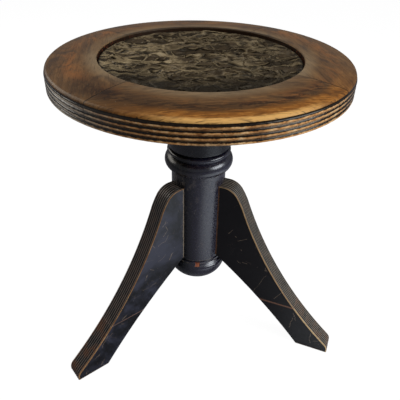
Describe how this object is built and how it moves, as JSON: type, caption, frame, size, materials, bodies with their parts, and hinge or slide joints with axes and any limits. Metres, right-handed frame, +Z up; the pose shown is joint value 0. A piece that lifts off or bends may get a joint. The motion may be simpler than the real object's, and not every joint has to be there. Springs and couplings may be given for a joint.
{
  "type": "piano stool",
  "caption": "Round piano stool whose leather seat turns on a screw in a turned column with curved, reeded legs, and winds up and down as it turns.",
  "frame": {"origin": "on the floor, on the axis of the screw", "axes": "+Z up along the screw, +Y along the rear leg, +X towards the right-hand leg's side"},
  "size_m": [0.3946, 0.401, 0.4239],
  "materials": {
    "dark_wood": "worn black polish",
    "leg_wood": "worn black polish, bare along the arrises",
    "foot_wood": "worn dark brown polish",
    "rim_wood": "worn brown polish",
    "board_wood": "bare wood",
    "peg_wood": "bare wood",
    "seat_leather": "creased, half matt",
    "stuffing": "felted",
    "dark_iron": "dull",
    "steel": "dull, greased"
  },
  "bodies": {
    "base": {"column": "dark_wood", "left_leg": "leg_wood", "right_leg": "leg_wood", "rear_leg": "leg_wood", "left_foot": "foot_wood", "right_foot": "foot_wood", "rear_foot": "foot_wood", "leg_dowels": "peg_wood", "foot_dowels": "peg_wood", "screw_nut": "dark_iron", "nut_screws": "steel"},
    "washer": {"thrust_washer": "dark_iron"},
    "seat": {"rim_front": "rim_wood", "rim_right": "rim_wood", "rim_rear": "rim_wood", "rim_left": "rim_wood", "rim_tongues": "peg_wood", "seat_board": "board_wood", "board_screws": "steel", "seat_stuffing": "stuffing", "leather_cover": "seat_leather", "boss": "dark_wood", "boss_screws": "steel", "screw_plate": "dark_iron", "plate_screws": "steel", "lift_screw": "steel"}
  },
  "joints": [
    {"name": "seat_turn", "type": "hinge", "parent": "base", "child": "washer", "pos_m": [0, 0, 0.3035], "axis": [0, 0, 1], "range_deg": [0, 4680]},
    {"name": "seat_lift", "type": "slide", "parent": "washer", "child": "seat", "axis": [0, 0, 1], "range_m": [0, 0.104]}
  ],
  "couplings": [
    {"joint": "seat_lift", "follows": "seat_turn", "m_per_rad": 0.0012732}
  ]
}
